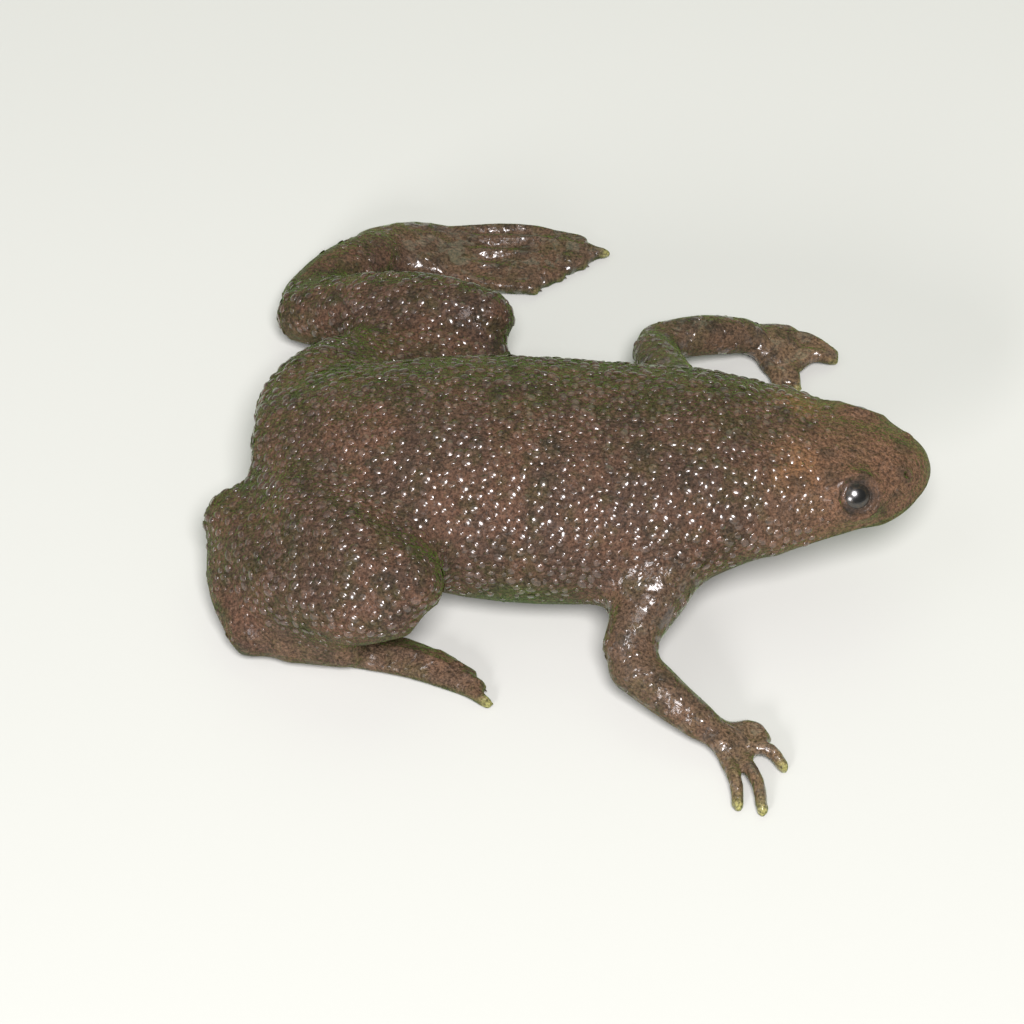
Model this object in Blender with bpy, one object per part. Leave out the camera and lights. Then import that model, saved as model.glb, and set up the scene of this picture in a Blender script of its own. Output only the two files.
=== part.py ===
"""Western dwarf clawed frog, life size, crouched on a flat floor with its head raised.

The frog faces +X with its left side at +Y, and the floor is Z = 0. Flesh comes in the pieces that a
person would name, each its own closed solid, set GAP apart. Sizes are in millimetres, times MM.
"""

import math

import bmesh
import bpy
import numpy as np
from mathutils import Matrix, Vector

MM = 0.001
GAP = 0.3
FLOOR_BLOCK = 80.0

# Trunk and head: rows of x, y and z of the widest level, half width, top and bottom
NECK_X = 8.1
TRUNK_SIDES = 24
TRUNK = [
    (-16.3, 1.2, 4.9, 2.20, 6.4, 3.4),
    (-15.6, 1.1, 4.8, 2.90, 7.0, 2.6),
    (-13.6, 0.7, 4.6, 4.20, 8.1, 1.1),
    (-10.8, 0.3, 4.5, 5.40, 9.0, 0.3),
    (-7.4, 0.1, 4.4, 6.30, 9.4, -0.2),
    (-4.0, 0.0, 4.4, 6.70, 9.5, -0.3),
    (-0.6, 0.0, 4.4, 6.65, 9.5, -0.3),
    (2.6, 0.0, 4.6, 6.40, 9.5, 0.1),
    (5.2, 0.0, 5.2, 5.90, 9.6, 1.3),
    (7.2, 0.0, 5.7, 5.25, 9.4, 2.5),
    (9.0, 0.1, 5.8, 4.85, 9.0, 3.2),
    (10.9, 0.1, 5.9, 4.05, 8.7, 4.1),
    (12.8, 0.1, 6.0, 3.35, 8.4, 4.6),
    (13.9, 0.1, 6.0, 2.95, 8.2, 4.7),
    (14.9, 0.1, 6.1, 2.30, 7.9, 5.1),
    (15.7, 0.2, 6.2, 1.55, 7.4, 5.6),
    (16.05, 0.2, 6.35, 0.95, 7.05, 5.9),
]
RUMP_TIP = (-16.6, 1.1, 4.9)
SNOUT_TIP = (16.25, 0.2, 6.45)

# Mouth: a groove round the snout, a little under the widest level, back to the jaw angle
MOUTH_ANGLE = -20.0
LIP_ANGLE = 6.0
MOUTH_DEPTH = 0.30
LIP_SWELL = 0.10
JAW_ANGLE_X = 9.8

# Eyes and nostrils: places are for the right side, and the left side mirrors them about the head's middle
HEAD_MIDDLE_Y = 0.1
EYE_PLACE = (12.50, -2.12, 6.91)
EYE_LOOK = (0.25, -0.70, 0.67)
EYE_RADIUS = 1.00
LID_RADIUS = 1.08
LID_THICKNESS = 0.20
LID_RISE = 0.82
NOSTRIL_PLACE = (14.95, -1.15, 7.45)
NOSTRIL_LOOK = (0.62, -0.42, 0.66)
NOSTRIL_SWELL = 0.29
NOSTRIL_RADIUS = 0.19
NOSTRIL_DEPTH = 0.65

# Limbs: rows of x, y, z, half width and half height along each piece, root first
LIMB_SIDES = 12
LEFT_LEG = {
    "thigh": [
        (-14.4, 3.3, 4.5, 2.4, 2.4),
        (-13.4, 5.7, 4.2, 2.2, 2.2),
        (-11.3, 7.6, 3.3, 2.3, 1.9),
        (-6.2, 9.1, 2.9, 1.7, 1.6),
    ],
    "shank": [
        (-6.0, 10.9, 4.2, 1.4, 1.6),
        (-8.6, 11.4, 3.9, 2.0, 1.9),
        (-11.8, 12.0, 3.0, 2.2, 2.0),
        (-15.1, 12.8, 1.9, 1.6, 1.5),
    ],
    "ankle": [
        (-15.3, 14.1, 1.4, 1.4, 1.3),
        (-13.8, 15.9, 1.5, 1.6, 1.4),
        (-12.1, 17.9, 1.2, 1.5, 1.15),
    ],
}
RIGHT_LEG = {
    "thigh": [
        (-13.7, -1.5, 4.2, 2.4, 2.7),
        (-12.9, -4.0, 4.8, 2.8, 2.8),
        (-10.7, -6.3, 5.3, 2.6, 2.6),
        (-8.4, -7.9, 5.6, 1.9, 1.9),
    ],
    "shank": [
        (-8.9, -8.8, 4.7, 1.5, 1.6),
        (-11.0, -8.2, 4.2, 2.1, 2.1),
        (-14.0, -6.2, 3.7, 2.3, 2.2),
        (-16.8, -2.8, 3.3, 1.8, 1.9),
    ],
    "ankle": [
        (-16.95, -3.8, 2.9, 1.5, 1.6),
        (-16.6, -6.0, 2.1, 1.4, 1.5),
        (-15.6, -7.8, 1.3, 1.4, 1.2),
    ],
}
LEFT_ARM = {
    "upper_arm": [(4.2, 4.2, 4.6, 1.9, 2.0), (3.4, 7.6, 3.5, 1.4, 1.5), (2.4, 10.8, 2.5, 1.1, 1.1)],
    "forearm": [(2.4, 11.7, 2.2, 1.0, 1.05), (4.8, 12.7, 1.9, 1.05, 1.05), (7.0, 13.4, 1.3, 0.95, 0.85)],
}
RIGHT_ARM = {
    "upper_arm": [(4.1, -4.0, 4.6, 2.3, 2.2), (2.97, -6.8, 3.6, 1.6, 1.7), (2.15, -8.65, 2.7, 1.17, 1.3)],
    "forearm": [(2.4, -9.5, 2.3, 1.25, 1.25), (4.65, -11.15, 1.6, 1.0, 1.0), (6.3, -12.15, 1.05, 0.86, 0.74)],
}

# Hands: the palm's two ends, and for each finger its knuckle, middle joint and tip, inner finger first
FINGER_RADIUS = 0.38
TIP_RADIUS = 0.29
FINGER_SIDES = 8
LEFT_HAND = {
    "palm": [(7.2, 13.55, 1.0, 1.0, 0.70), (8.9, 13.35, 0.65, 1.55, 0.55)],
    "fingers": [
        [(7.9, 12.4, 0.50), (8.5, 11.5, 0.55), (8.75, 10.6, 0.28)],
        [(8.7, 12.5, 0.50), (9.4, 11.7, 0.60), (9.6, 10.9, 0.28)],
        [(9.3, 13.1, 0.55), (10.5, 12.9, 0.65), (11.4, 13.0, 0.28)],
        [(9.0, 14.2, 0.55), (10.2, 13.9, 0.70), (11.4, 13.4, 0.28)],
    ],
    "web_reaches": [0.95, 0.60, 0.90],
}
RIGHT_HAND = {
    "palm": [(6.6, -12.4, 1.0, 0.80, 0.65), (7.4, -12.75, 0.70, 1.10, 0.50)],
    "fingers": [
        [(7.2, -11.75, 0.75), (8.4, -11.6, 0.65), (8.95, -12.1, 0.45)],
        [(8.0, -12.6, 0.55), (9.2, -12.9, 0.60), (9.85, -13.6, 0.28)],
        [(7.8, -13.2, 0.55), (8.65, -14.8, 0.60), (8.95, -16.25, 0.28)],
        [(7.1, -13.3, 0.55), (7.65, -14.9, 0.60), (7.8, -16.05, 0.28)],
    ],
    "web_reaches": [0.70, 0.25, 0.18],
}

# Feet: the sole's two ends, and for each toe its base, middle and tip, inner toe first
TOE_RADIUS = 0.38
TOE_TIP_RADIUS = 0.27
LEFT_FOOT = {
    "sole": [(-12.3, 18.3, 1.0, 1.5, 0.95), (-10.2, 18.9, 0.8, 1.8, 0.75), (-8.2, 19.0, 0.5, 1.8, 0.48)],
    "toes": [
        [(-8.6, 17.5, 0.50), (-6.0, 16.8, 0.50), (-3.6, 16.9, 0.30)],
        [(-8.3, 18.1, 0.55), (-5.0, 17.8, 0.60), (-2.4, 17.9, 0.30)],
        [(-8.1, 18.9, 0.60), (-4.6, 18.9, 0.65), (-1.3, 18.8, 0.30)],
        [(-8.2, 19.7, 0.60), (-4.2, 20.0, 0.65), (-0.5, 19.7, 0.30)],
        [(-8.5, 20.4, 0.50), (-5.0, 20.9, 0.50), (-1.7, 20.55, 0.30)],
    ],
}
RIGHT_FOOT = {
    "sole": [(-15.6, -7.9, 1.15, 1.2, 1.10), (-13.4, -8.0, 1.25, 1.3, 1.20), (-11.2, -8.05, 1.0, 1.3, 0.90)],
    "toes": [
        [(-11.4, -7.2, 0.50), (-8.4, -7.5, 0.55), (-5.8, -8.5, 0.30)],
        [(-11.3, -7.6, 0.55), (-8.0, -8.0, 0.75), (-4.9, -9.15, 0.32)],
        [(-11.2, -7.9, 0.60), (-7.8, -8.4, 0.85), (-4.45, -9.85, 0.34)],
        [(-11.3, -8.2, 0.55), (-7.7, -8.8, 0.65), (-4.3, -10.65, 0.30)],
        [(-11.5, -8.5, 0.50), (-8.2, -9.1, 0.50), (-5.3, -10.0, 0.30)],
    ],
}
FOOT_WEB_REACHES = [1.0, 1.0, 1.0, 1.0]
WEB_THICKNESS = 0.5
FOOT_WEB_DROP = 0.22
WEB_SCALLOP = 0.02
CLAWED_TOES = 3
CLAW_LENGTH = 0.50
CLAW_RADIUS = 0.23
CLAW_DROOP = 0.10
CLAW_SINK = 0.45


def catmull(rows, per_span):
    """A smooth curve through the rows, with per_span steps from each row to the next."""
    rows = np.array(rows, float)
    padded = np.vstack([2 * rows[0] - rows[1], rows, 2 * rows[-1] - rows[-2]])
    curve = []
    for i in range(1, len(padded) - 2):
        before, start, end, after = padded[i - 1 : i + 3]
        for step in range(per_span):
            t = step / per_span
            curve.append(
                start
                + 0.5 * t * (end - before)
                + 0.5 * t**2 * (2 * before - 5 * start + 4 * end - after)
                + 0.5 * t**3 * (3 * start - before - 3 * end + after)
            )
    curve.append(rows[-1])
    return np.array(curve)


def unit(vector):
    vector = np.array(vector, float)
    return vector / np.linalg.norm(vector)


def mesh_object(name, points, faces):
    """An object from points in millimetres, with its faces pointing out."""
    mesh = bpy.data.meshes.new(name)
    mesh.from_pydata([tuple(p * MM) for p in np.asarray(points, float)], [], faces)
    shape = bmesh.new()
    shape.from_mesh(mesh)
    bmesh.ops.recalc_face_normals(shape, faces=shape.faces)
    bmesh.ops.triangulate(shape, faces=shape.faces)
    shape.to_mesh(mesh)
    shape.free()
    obj = bpy.data.objects.new(name, mesh)
    bpy.context.scene.collection.objects.link(obj)
    return obj


def loft(name, rings, first_pole, last_pole):
    """A closed skin through equal rings, with a fan of faces to a pole at each end."""
    sides = len(rings[0])
    points = [p for ring in rings for p in ring] + [first_pole, last_pole]
    faces = []
    for r in range(len(rings) - 1):
        for s in range(sides):
            a, b = r * sides + s, r * sides + (s + 1) % sides
            faces.append((a, b, b + sides, a + sides))
    last = (len(rings) - 1) * sides
    for s in range(sides):
        faces.append((s, (s + 1) % sides, len(points) - 2))
        faces.append((last + s, last + (s + 1) % sides, len(points) - 1))
    return mesh_object(name, points, faces)


def limb(name, rows, sides=LIMB_SIDES, per_span=3, grow=0.0, caps=(30.0, 62.0)):
    """A rounded tube along rows of x, y, z, half width and half height, grow larger all round."""
    curve = catmull(rows, per_span)
    centres = curve[:, :3]
    sizes = curve[:, 3:5] + grow
    ways = np.gradient(centres, axis=0)
    rings = []

    def ring(centre, way, size):
        side = unit(np.cross((0, 0, 1), way))
        rise = unit(np.cross(way, side))
        angles = 2 * math.pi * np.arange(sides) / sides
        return centre + np.outer(np.cos(angles) * size[0], side) + np.outer(np.sin(angles) * size[1], rise)

    first_way, last_way = unit(ways[0]), unit(ways[-1])
    first_bulge, last_bulge = sizes[0].mean(), sizes[-1].mean()
    for turn in reversed(caps):
        back, share = math.sin(math.radians(turn)), math.cos(math.radians(turn))
        rings.append(ring(centres[0] - first_way * first_bulge * back, first_way, sizes[0] * share))
    for centre, way, size in zip(centres, ways, sizes):
        rings.append(ring(centre, way, size))
    for turn in caps:
        on, share = math.sin(math.radians(turn)), math.cos(math.radians(turn))
        rings.append(ring(centres[-1] + last_way * last_bulge * on, last_way, sizes[-1] * share))
    return loft(name, rings, centres[0] - first_way * first_bulge, centres[-1] + last_way * last_bulge)


def boolean(obj, operation, operand, solver="EXACT"):
    """Applies one Boolean of obj with an object or a collection, which is then removed."""
    modifier = obj.modifiers.new("join", "BOOLEAN")
    modifier.operation = operation
    modifier.solver = solver
    if isinstance(operand, bpy.types.Collection):
        modifier.operand_type = "COLLECTION"
        modifier.collection = operand
    else:
        modifier.object = operand
    graph = bpy.context.evaluated_depsgraph_get()
    result = bpy.data.meshes.new_from_object(obj.evaluated_get(graph))
    obj.modifiers.remove(modifier)
    obj.data = result
    if isinstance(operand, bpy.types.Collection):
        for member in list(operand.objects):
            bpy.data.objects.remove(member)
        bpy.data.collections.remove(operand)
    else:
        bpy.data.objects.remove(operand)
    return obj


def keep_largest(obj):
    """Keeps the largest closed surface of an object and drops the rest."""
    shape = bmesh.new()
    shape.from_mesh(obj.data)
    bmesh.ops.remove_doubles(shape, verts=shape.verts, dist=0.002 * MM)
    shells = []
    unseen = set(shape.faces)
    while unseen:
        stack = [unseen.pop()]
        shell = []
        while stack:
            face = stack.pop()
            shell.append(face)
            for edge in face.edges:
                for other in edge.link_faces:
                    if other in unseen:
                        unseen.remove(other)
                        stack.append(other)
        shells.append(shell)
    shells.sort(key=lambda shell: sum(face.calc_area() for face in shell))
    loose = [face for shell in shells[:-1] for face in shell]
    if loose:
        bmesh.ops.delete(shape, geom=loose, context="FACES")
    bmesh.ops.triangulate(shape, faces=shape.faces)
    shape.to_mesh(obj.data)
    shape.free()
    return obj


def fuse(name, pieces):
    """Joins overlapping pieces into one body with one Boolean union."""
    base = pieces[0]
    base.name = name
    others = bpy.data.collections.new("to_join")
    bpy.context.scene.collection.children.link(others)
    for piece in pieces[1:]:
        others.objects.link(piece)
    boolean(base, "UNION", others)
    return keep_largest(base)


def cut_at_floor(obj):
    """Takes off what reaches under the floor, which leaves a small flat to rest on."""
    half = FLOOR_BLOCK / 2
    corners = [(x, y, z) for x in (-half, half) for y in (-half, half) for z in (-half, 0)]
    faces = [(0, 1, 3, 2), (4, 5, 7, 6), (0, 1, 5, 4), (2, 3, 7, 6), (0, 2, 6, 4), (1, 3, 7, 5)]
    return keep_largest(boolean(obj, "DIFFERENCE", mesh_object("floor", corners, faces)))


def clear_of(obj, *grown):
    """Cuts obj back from its neighbours, each given GAP larger than it is."""
    for neighbour in grown:
        boolean(obj, "DIFFERENCE", neighbour)
    return keep_largest(obj)


def trunk_ring(row, grow, mouth=0.0):
    """One cross-section at a row of TRUNK, with the mouth's groove drawn in where mouth is over 0."""
    x, y, wide_z, half_width, top, bottom = row
    angles = list(np.arange(TRUNK_SIDES) * 360 / TRUNK_SIDES)
    marks = []
    for centre in (MOUTH_ANGLE, 180 - MOUTH_ANGLE):
        marks += [centre - LIP_ANGLE, centre, centre + LIP_ANGLE]
    near = [a for a in angles if all(abs((a - m + 180) % 360 - 180) > LIP_ANGLE * 0.7 for m in marks)]
    ring = []
    for angle in sorted(a % 360 for a in near + marks):
        turn = math.radians(angle)
        height = top - wide_z if math.sin(turn) > 0 else wide_z - bottom
        out = np.array([math.cos(turn) * (half_width + grow), math.sin(turn) * (height + grow)])
        reach = np.linalg.norm(out)
        for centre in (MOUTH_ANGLE % 360, (180 - MOUTH_ANGLE) % 360):
            off = abs((angle - centre + 180) % 360 - 180)
            if off < 1:
                out = out * (1 - mouth * MOUTH_DEPTH / reach)
            elif off < LIP_ANGLE * 1.1:
                out = out * (1 + mouth * LIP_SWELL / reach)
        ring.append((x, y + out[0], wide_z + out[1]))
    return ring


def trunk_rows():
    """The trunk's rows, close together, from the rump to the snout."""
    return catmull(TRUNK, 2)


def row_at(x):
    rows = trunk_rows()
    return np.array([np.interp(x, rows[:, 0], rows[:, i]) for i in range(6)])


def torso(name, grow=0.0):
    """The torso, from the rump to the neck; when grown it also covers the head's root."""
    end = NECK_X - GAP / 2 + grow
    rows = [row for row in trunk_rows() if row[0] < end - 0.2] + [row_at(end)]
    rings = [trunk_ring(row, grow) for row in rows]
    tip = np.array(RUMP_TIP) - (grow, 0, 0)
    return loft(name, rings, tip, (end, rows[-1][1], rows[-1][2]))


def mirrored(place):
    return (place[0], 2 * HEAD_MIDDLE_Y - place[1], place[2])


def ball(name, centre, radius, look, flat=1.0, segments=20):
    """A ball, flattened along look where flat is under 1, with its poles along look."""
    shape = bmesh.new()
    bmesh.ops.create_uvsphere(shape, u_segments=segments, v_segments=segments // 2, radius=radius * MM)
    bmesh.ops.scale(shape, vec=(1, 1, flat), verts=shape.verts)
    turn = Vector(look).to_track_quat("Z", "Y").to_matrix().to_4x4()
    bmesh.ops.transform(shape, matrix=Matrix.Translation(Vector(centre) * MM) @ turn, verts=shape.verts)
    bmesh.ops.triangulate(shape, faces=shape.faces)
    mesh = bpy.data.meshes.new(name)
    shape.to_mesh(mesh)
    shape.free()
    obj = bpy.data.objects.new(name, mesh)
    bpy.context.scene.collection.objects.link(obj)
    return obj


def ring_round(name, centre, look, radius, thickness, around=24, section=8):
    """A round rim about the line of look."""
    way = unit(look)
    side = unit(np.cross((0, 0, 1), way))
    rise = np.cross(way, side)
    points, faces = [], []
    for i in range(around):
        turn = 2 * math.pi * i / around
        out = math.cos(turn) * side + math.sin(turn) * rise
        for j in range(section):
            roll = 2 * math.pi * j / section
            points.append(np.array(centre) + out * (radius + thickness * math.cos(roll)) + way * thickness * math.sin(roll))
    for i in range(around):
        for j in range(section):
            k, l = (i + 1) % around, (j + 1) % section
            faces.append((i * section + j, k * section + j, k * section + l, i * section + l))
    return mesh_object(name, points, faces)


def head():
    """The head, with its mouth line, lips, lids, eye sockets and nostrils."""
    start = NECK_X + GAP / 2
    rows = [row_at(start)] + [row for row in trunk_rows() if row[0] > start + 0.2]
    rings = []
    for row in rows:
        opening = np.clip((row[0] - JAW_ANGLE_X) / 0.8, 0, 1) * min(1.0, row[3] / 1.6)
        rings.append(trunk_ring(row, 0.0, opening))
    skull = loft("head", rings, (start, rows[0][1], rows[0][2]), SNOUT_TIP)
    additions = [skull]
    for side in (1, -1):
        place = EYE_PLACE if side == 1 else mirrored(EYE_PLACE)
        look = (EYE_LOOK[0], side * EYE_LOOK[1], EYE_LOOK[2])
        rim = np.array(place) + unit(look) * LID_RISE
        additions.append(ring_round("lid", rim, look, LID_RADIUS, LID_THICKNESS))
        nose = NOSTRIL_PLACE if side == 1 else mirrored(NOSTRIL_PLACE)
        additions.append(ball("nose", nose, NOSTRIL_SWELL, NOSTRIL_LOOK, 0.8, 12))
    whole = fuse("head", additions)
    for side in (1, -1):
        place = EYE_PLACE if side == 1 else mirrored(EYE_PLACE)
        look = (EYE_LOOK[0], side * EYE_LOOK[1], EYE_LOOK[2])
        boolean(whole, "DIFFERENCE", ball("socket", place, EYE_RADIUS + GAP, look, 1.0, 20), "MANIFOLD")
        nose = np.array(NOSTRIL_PLACE if side == 1 else mirrored(NOSTRIL_PLACE))
        way = unit((NOSTRIL_LOOK[0], side * NOSTRIL_LOOK[1], NOSTRIL_LOOK[2]))
        rows = [(*(nose + way * (0.9 - NOSTRIL_DEPTH * k)), NOSTRIL_RADIUS, NOSTRIL_RADIUS) for k in (0, 1)]
        boolean(whole, "DIFFERENCE", limb("nostril", rows, sides=8, per_span=1, caps=(45.0,)), "MANIFOLD")
    return keep_largest(whole)


def eye(name, side):
    place = EYE_PLACE if side == 1 else mirrored(EYE_PLACE)
    look = (EYE_LOOK[0], side * EYE_LOOK[1], EYE_LOOK[2])
    return ball(name, place, EYE_RADIUS, look, 1.0, 20)


def digit(name, joints, root_radius, tip_radius, sides):
    """A finger or toe through its joints, tapering to the tip."""
    shares = np.linspace(0, 1, len(joints))
    radii = root_radius + (tip_radius - root_radius) * shares
    rows = [(*joint, r, r) for joint, r in zip(joints, radii)]
    return limb(name, rows, sides=sides, per_span=3, caps=(35.0, 68.0))


def web(name, first, second, reach, drop=0.0):
    """A thin skin between two digits, drop lower than they are, out to a share reach of each."""
    steps, across = 5, 2
    one, two = catmull(first, 8), catmull(second, 8)
    span = len(one) - 1
    top, bottom = [], []
    for i in range(steps + 1):
        for j in range(across + 1):
            share = j / across
            sag = WEB_SCALLOP * math.sin(math.pi * share) * (i / steps)
            at = np.clip((i / steps) * (reach - sag) * span, 0, span)
            low = min(int(at), span - 1)
            p = one[low] + (one[low + 1] - one[low]) * (at - low)
            q = two[low] + (two[low + 1] - two[low]) * (at - low)
            middle = p + (q - p) * share
            middle[2] = max(middle[2] - drop, WEB_THICKNESS * 0.62)
            top.append(middle + (0, 0, WEB_THICKNESS / 2))
            bottom.append(middle - (0, 0, WEB_THICKNESS / 2))
    row = across + 1
    count = len(top)
    faces = []
    for i in range(steps):
        for j in range(across):
            a = i * row + j
            faces += [(a, a + 1, a + row), (a + 1, a + row + 1, a + row)]
            faces += [(a + count, a + row + count, a + 1 + count), (a + 1 + count, a + row + count, a + row + 1 + count)]
    edge = [j for j in range(row)] + [i * row + across for i in range(1, steps + 1)]
    edge += [steps * row + j for j in range(across - 1, -1, -1)] + [i * row for i in range(steps - 1, 0, -1)]
    for k, a in enumerate(edge):
        b = edge[(k + 1) % len(edge)]
        faces += [(a, b, b + count), (a, b + count, a + count)]
    return mesh_object(name, top + bottom, faces)


def hand(name, plan):
    """Palm, four slender fingers and the short webs between their roots, in one body."""
    pieces = [limb("palm", plan["palm"], sides=12, per_span=3)]
    for joints in plan["fingers"]:
        pieces.append(digit("finger", joints, FINGER_RADIUS, TIP_RADIUS, FINGER_SIDES))
    for first, second, reach in zip(plan["fingers"], plan["fingers"][1:], plan["web_reaches"]):
        pieces.append(web("web", first, second, reach))
    return fuse(name, pieces)


def foot(name, plan):
    """Sole, five toes and the webs that join them almost to their tips, in one body."""
    pieces = [limb("sole", plan["sole"], sides=14, per_span=3)]
    for joints in plan["toes"]:
        pieces.append(digit("toe", joints, TOE_RADIUS, TOE_TIP_RADIUS, FINGER_SIDES))
    for first, second, reach in zip(plan["toes"], plan["toes"][1:], FOOT_WEB_REACHES):
        pieces.append(web("web", first, second, reach, FOOT_WEB_DROP))
    return fuse(name, pieces)


def claw(name, joints, grow=0.0):
    """A blunt cap of horn in place of the toe's end, as thick as the toe and running out to a point."""
    curve = catmull(joints, 8)
    tip = curve[-1]
    way = unit(tip - curve[-2])
    start = tip - way * CLAW_SINK
    rows = []
    for share, size in ((0.0, 1.0), (0.45, 0.85), (0.9, 0.4)):
        place = start + way * CLAW_LENGTH * share
        rows.append((place[0], place[1], max(place[2] - CLAW_DROOP * share, 0.1), CLAW_RADIUS * size, CLAW_RADIUS * size))
    return limb(name, rows, sides=8, per_span=2, caps=(50.0,), grow=grow)


def paint(obj, name, colour, roughness):
    """Gives an object a material of its own."""
    material = bpy.data.materials.new(name)
    material.use_nodes = True
    surface = material.node_tree.nodes["Principled BSDF"]
    surface.inputs["Base Color"].default_value = (*colour, 1)
    surface.inputs["Roughness"].default_value = roughness
    surface.inputs["Metallic"].default_value = 0.0
    obj.data.materials.clear()
    obj.data.materials.append(material)


def build_leg(side, leg, plan):
    """Thigh, shank, ankle and foot of one side, each cut back from those before it."""
    thigh = clear_of(limb(f"thigh_{side}", leg["thigh"]), torso("grown_torso", GAP))
    shank = clear_of(
        limb(f"shank_{side}", leg["shank"]),
        limb("grown_thigh", leg["thigh"], grow=GAP),
        torso("grown_torso", GAP),
    )
    ankle = clear_of(
        limb(f"ankle_{side}", leg["ankle"]),
        limb("grown_shank", leg["shank"], grow=GAP),
        limb("grown_thigh", leg["thigh"], grow=GAP),
        torso("grown_torso", GAP),
    )
    paddle = clear_of(
        foot(f"foot_{side}", plan),
        limb("grown_ankle", leg["ankle"], grow=GAP),
        limb("grown_shank", leg["shank"], grow=GAP),
    )
    for toe, joints in enumerate(plan["toes"][:CLAWED_TOES], start=1):
        clear_of(paddle, claw("grown_claw", joints, GAP))
        nail = cut_at_floor(claw(f"claw_{side}_{toe}", joints))
        paint(nail, nail.name, (0.05, 0.045, 0.035), 0.3)
    for piece in (thigh, shank, ankle, paddle):
        cut_at_floor(piece)
        paint(piece, piece.name, (0.13, 0.08, 0.05), 0.35)


def build_arm(side, arm, plan):
    """Upper arm, forearm and hand of one side, each cut back from those before it."""
    upper = clear_of(limb(f"upper_arm_{side}", arm["upper_arm"]), torso("grown_torso", GAP))
    fore = clear_of(
        limb(f"forearm_{side}", arm["forearm"]),
        limb("grown_upper", arm["upper_arm"], grow=GAP),
        torso("grown_torso", GAP),
    )
    palm = clear_of(hand(f"hand_{side}", plan), limb("grown_fore", arm["forearm"], grow=GAP))
    for piece in (upper, fore, palm):
        cut_at_floor(piece)
        paint(piece, piece.name, (0.14, 0.09, 0.055), 0.35)


def main():
    for obj in list(bpy.data.objects):
        bpy.data.objects.remove(obj)
    body = cut_at_floor(torso("torso"))
    paint(body, "torso", (0.12, 0.075, 0.045), 0.4)
    skull = head()
    paint(skull, "head", (0.15, 0.09, 0.055), 0.4)
    for side, name in ((1, "eye_right"), (-1, "eye_left")):
        paint(eye(name, side), name, (0.015, 0.012, 0.01), 0.05)
    build_leg("left", LEFT_LEG, LEFT_FOOT)
    build_leg("right", RIGHT_LEG, RIGHT_FOOT)
    build_arm("left", LEFT_ARM, LEFT_HAND)
    build_arm("right", RIGHT_ARM, RIGHT_HAND)


main()
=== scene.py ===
import math

import bmesh
import bpy
import numpy as np
from mathutils import Matrix, Vector
from mathutils.bvhtree import BVHTree


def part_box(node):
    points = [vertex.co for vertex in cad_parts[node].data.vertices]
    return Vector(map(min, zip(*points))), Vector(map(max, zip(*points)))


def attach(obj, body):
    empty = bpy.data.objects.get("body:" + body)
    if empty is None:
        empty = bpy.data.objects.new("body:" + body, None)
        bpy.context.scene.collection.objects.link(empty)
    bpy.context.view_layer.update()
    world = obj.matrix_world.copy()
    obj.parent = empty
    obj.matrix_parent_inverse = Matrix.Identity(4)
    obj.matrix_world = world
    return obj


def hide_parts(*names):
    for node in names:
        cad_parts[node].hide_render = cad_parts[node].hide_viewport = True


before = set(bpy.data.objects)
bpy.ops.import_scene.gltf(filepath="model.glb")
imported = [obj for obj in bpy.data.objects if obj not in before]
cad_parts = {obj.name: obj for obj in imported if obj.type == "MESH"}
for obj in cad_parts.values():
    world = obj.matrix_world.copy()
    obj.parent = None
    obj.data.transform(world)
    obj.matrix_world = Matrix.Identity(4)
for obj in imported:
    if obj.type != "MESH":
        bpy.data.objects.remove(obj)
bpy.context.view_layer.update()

# Skin: the frog's one wet skin, drawn over trunk, head, arms and legs without a seam. The pieces of
# flesh are swollen until they touch, joined, let down again, and the folds between them bridged as loose
# skin does. Eyelids, nostrils and lips are drawn on a finer mesh. Lengths are in millimetres.
MM = 0.001
FLESH = sorted(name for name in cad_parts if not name.startswith(("eye", "claw")))
CLAW_NODES = sorted(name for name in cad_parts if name.startswith("claw"))
EXTREMITIES = ("hand_left", "hand_right", "foot_left", "foot_right")
WELD_REACH = 0.001
SEARCH_REACH = 4.0
FAR_AWAY = 9.0
SWELL = 0.20
SWELL_REACH = (0.40, 0.90)
SOCKET_WALL = 0.45
SOCKET_FLAT = 0.74
TOE_END_RADIUS = 0.32
TOE_END_STEPS = (-0.6, -0.2, 0.2, 0.45)
CLAW_END_PERCENTILES = (20, 80)
CLAW_BREADTH_PERCENTILE = 95
SKIN_CELL = 0.135
SMOOTHING_PAIR = (0.63, -0.65)
SMOOTHING = 45
EXTREMITY_SMOOTHING = 0.25
WEB_HEIGHT = (0.60, 0.95)
SEAM_REACH = (0.45, 1.15)
SEAM_MELTING = (0.5,) * 60
EXTREMITY_MELTING = 0.5
FOLD_REACH = (2.2, 4.0)
FOLD_BLUR = 30
FOLD_STEPS = 480
FOLD_PULL = 0.5
FOLD_NORMALS_EVERY = 20
FOLD_BRIDGING = {
    "torso": 1.0, "thigh": 1.0, "shank": 1.0, "ankle": 1.0, "upper_arm": 0.35, "forearm": 0.2,
    "foot": 0.9, "hand": 0.0, "head": 0.3,
}
TOE_END_REACH = (1.2, 2.0)
TOE_RELIEF = 0.5
TOE_RELIEF_REACH = (0.5, 1.5)
TOE_FLATTENING = (0.5,) * 25
FLOOR_GAP = 0.02
HEAD_BACK = 9.2
HEAD_BLEND = 1.5
HEAD_FINE_BLEND = 1.0
HEAD_MIDDLE_Y = 0.1
HEAD_SOFTENING = (0.4,) * 8
HEAD_FINE_SMOOTHING = 3
EYE_LOOK = (0.25, -0.70, 0.67)
EYE_OPENING = 0.74
EYE_FINE_REACHES = (1.55, 1.05)
EYE_SOFT_REACH = (0.9, 2.2)
EYE_SOFTENING = (0.5,) * 25
LID_RADII = (0.0, 0.47, 0.56, 0.63, 0.75, 0.92)
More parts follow.
